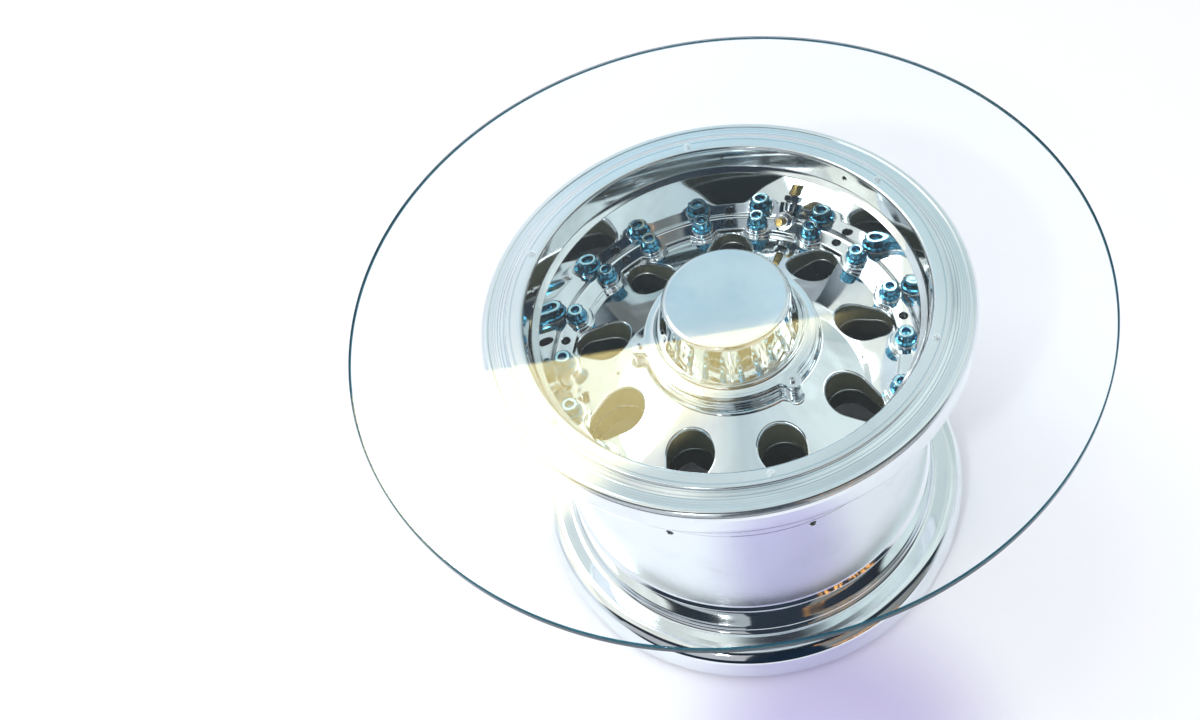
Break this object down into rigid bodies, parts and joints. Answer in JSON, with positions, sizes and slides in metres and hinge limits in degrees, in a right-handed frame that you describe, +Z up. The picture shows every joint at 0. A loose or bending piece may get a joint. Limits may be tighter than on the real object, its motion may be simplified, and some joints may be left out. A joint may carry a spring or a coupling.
{
  "type": "aircraft wheel coffee table",
  "caption": "Coffee table: a polished two-piece aircraft wheel lying on its flange, with a round clear glass top resting on the upper flange.",
  "frame": {"origin": "centre of the wheel on the floor, under the middle of the glass top", "axes": "+Z up along the wheel axis; +X runs through a vent, and the picture's camera stands towards -Y"},
  "size_m": [0.9139, 0.914, 0.462],
  "materials": {
    "glass": "clear float glass with a ground and polished edge",
    "bumper": "clear soft plastic",
    "polished_aluminium": "mirror polished",
    "blue_bolt": "glossy transparent blue over metal",
    "washer": "polished",
    "steel": "plated steel",
    "chrome_fitting": "polished",
    "brass": "bright",
    "seal": "matt black",
    "key_steel": "hard coated steel, satin"
  },
  "bodies": {
    "wheel": {"outer_wheel_half": "polished_aluminium", "inner_wheel_half": "polished_aluminium", "seal_ring": "seal", "tie_bolts": "blue_bolt", "head_washers": "washer", "nut_washers": "steel", "tie_bolt_nuts": "steel", "hubcap": "polished_aluminium", "hubcap_gasket": "seal", "hubcap_screws": "steel", "screw_inserts": "steel", "outer_bearing_cup": "steel", "inner_bearing_cup": "steel", "valve_body": "chrome_fitting", "valve_seal": "seal", "valve_core": "brass", "relief_plug": "chrome_fitting", "plug_seals": "seal", "key_lock_screws": "steel", "key_screws": "steel", "glass_bumper_1": "bumper", "glass_bumper_2": "bumper", "glass_bumper_3": "bumper", "glass_bumper_4": "bumper", "glass_bumper_5": "bumper", "glass_bumper_6": "bumper", "fuse_plug_1": "chrome_fitting", "fuse_plug_2": "chrome_fitting", "drive_key_1": "key_steel", "drive_key_2": "key_steel", "drive_key_3": "key_steel", "drive_key_4": "key_steel", "drive_key_5": "key_steel", "drive_key_6": "key_steel", "drive_key_7": "key_steel", "drive_key_8": "key_steel", "drive_key_9": "key_steel"},
    "glass": {"glass_top": "glass"},
    "valve_cap": {"valve_cap": "brass"},
    "valve_pin": {"valve_pin": "steel"}
  },
  "joints": [
    {"name": "glass_lift", "type": "slide", "parent": "wheel", "child": "glass", "axis": [0, 0, 1], "range_m": [0, 0.15]},
    {"name": "valve_cap_pull", "type": "slide", "parent": "wheel", "child": "valve_cap", "axis": [-0.3716, -0.6436, 0.6691], "range_m": [0, 0.018]},
    {"name": "valve_pin_press", "type": "slide", "parent": "wheel", "child": "valve_pin", "axis": [0.3716, 0.6436, -0.6691], "range_m": [0, 0.0015], "stiffness_N_per_m": 400, "springref_m": -0.001}
  ]
}
